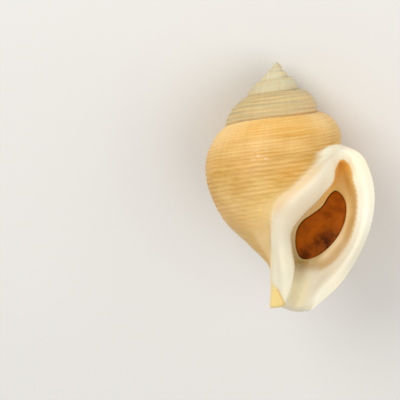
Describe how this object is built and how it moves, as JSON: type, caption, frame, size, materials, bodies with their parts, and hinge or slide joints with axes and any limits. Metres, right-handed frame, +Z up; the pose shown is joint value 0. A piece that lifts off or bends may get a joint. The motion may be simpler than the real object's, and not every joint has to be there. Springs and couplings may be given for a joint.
{
  "type": "helmet shell",
  "caption": "Bonnet-type helmet shell with fine spiral cords, a short spire, a flared white lip, a short canal and a horny lid in the mouth, lying on its back.",
  "frame": {"origin": "centre of the bounding box at the surface that the shell rests on", "axes": "+Z up; the shell lies on its back and its spire points along +Y and down, its canal along -Y; the mouth looks up and its lip is on the +X side"},
  "size_m": [0.0618, 0.083, 0.0592],
  "materials": {
    "shell": "smooth natural shell, satin, glazed white at the lip",
    "operculum": "horny, satin brown"
  },
  "bodies": {
    "root": {"shell": "shell", "operculum": "operculum"}
  },
  "joints": []
}
